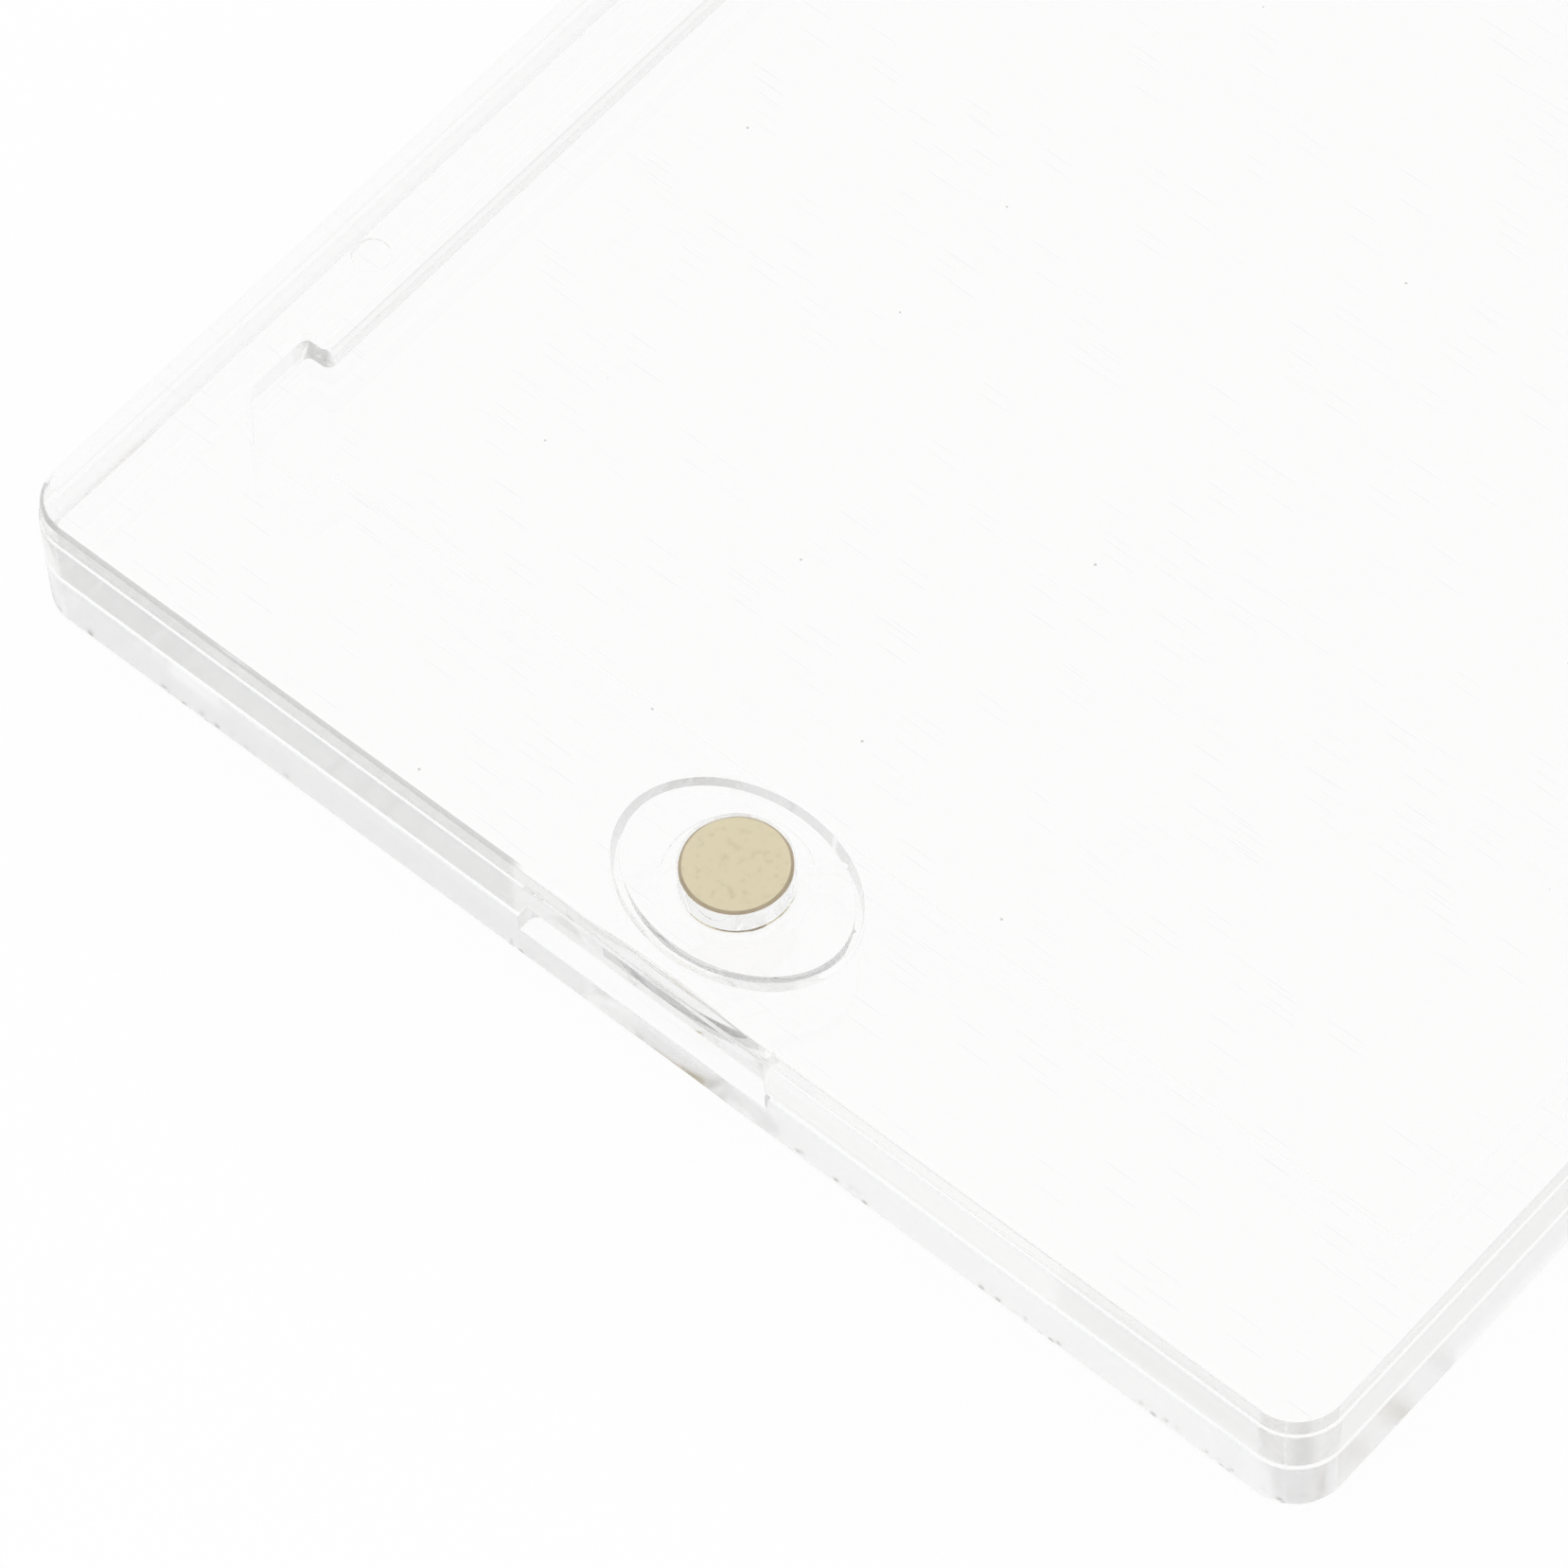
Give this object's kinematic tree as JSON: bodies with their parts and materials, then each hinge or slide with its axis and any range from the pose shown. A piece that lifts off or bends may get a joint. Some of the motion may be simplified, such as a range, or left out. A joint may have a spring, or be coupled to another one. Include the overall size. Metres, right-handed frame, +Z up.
{
  "type": "magnetic card holder",
  "caption": "Clear hinged-apart case that clamps one trading card between two moulded halves held shut by gold-plated disc magnets at a finger notch.",
  "frame": {"origin": "middle of the underside, on the surface that the case lies on", "axes": "+X across the case, +Y from the magnet end with the finger notch to the far end, +Z up through the front face"},
  "size_m": [0.073, 0.11, 0.0072],
  "materials": {
    "clear_plastic": "polished clear acrylic with fine handling scratches",
    "gold_plating": "pale gold plating, satin"
  },
  "bodies": {
    "rear": {"rear_half": "clear_plastic", "rear_magnet": "gold_plating"},
    "front": {"front_half": "clear_plastic", "front_magnet": "gold_plating"}
  },
  "joints": [
    {"name": "front_tilt", "type": "hinge", "parent": "rear", "child": "front", "pos_m": [0, 0.055, 0.00347], "axis": [-1, 0, 0], "range_deg": [0, 40]}
  ]
}
